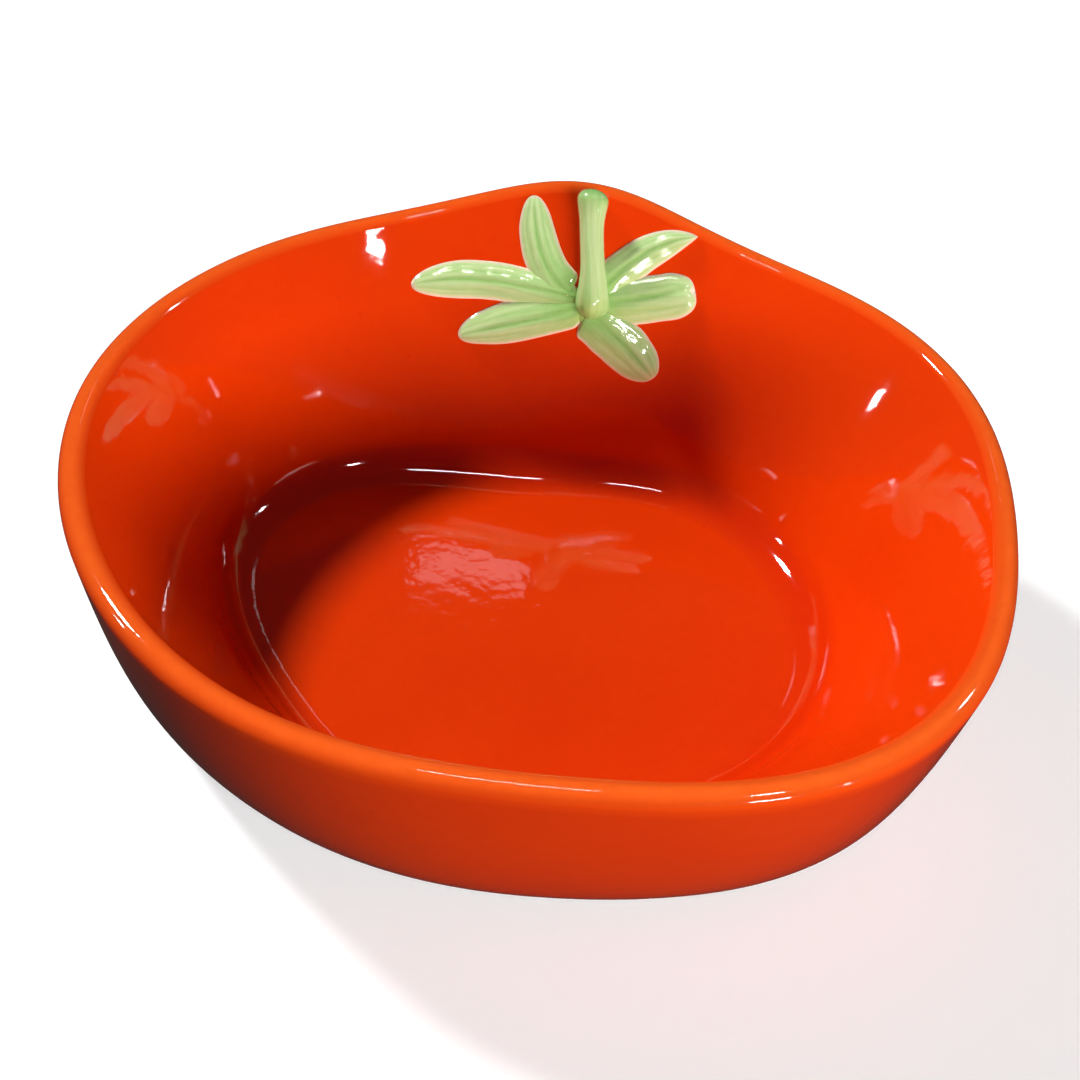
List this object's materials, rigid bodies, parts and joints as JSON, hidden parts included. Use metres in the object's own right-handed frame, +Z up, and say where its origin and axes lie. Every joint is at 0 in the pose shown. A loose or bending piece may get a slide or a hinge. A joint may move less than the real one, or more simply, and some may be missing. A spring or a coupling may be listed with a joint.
{
  "type": "bowl",
  "caption": "Shallow glazed ceramic bowl shaped like a tomato, with a raised lip at the back and a calyx and stem in relief on its inner wall.",
  "frame": {"origin": "middle of the rim's outline, on the surface that the foot stands on", "axes": "+Z up, +Y towards the lip and the stem, +X to the right seen from the front"},
  "size_m": [0.1598, 0.1478, 0.0586],
  "materials": {
    "red_glaze": "red-orange high-gloss glaze",
    "green_glaze": "pale green high-gloss glaze, darker in the hollows",
    "bare_clay": "unglazed, matt"
  },
  "bodies": {
    "root": {"bowl_body": "red_glaze", "foot_ring": "bare_clay", "calyx_hub": "green_glaze", "stem": "green_glaze", "sepal_left": "green_glaze", "sepal_lower_left": "green_glaze", "sepal_lower_right": "green_glaze", "sepal_right": "green_glaze", "sepal_upper_right": "green_glaze", "sepal_upper_left": "green_glaze"}
  },
  "joints": []
}
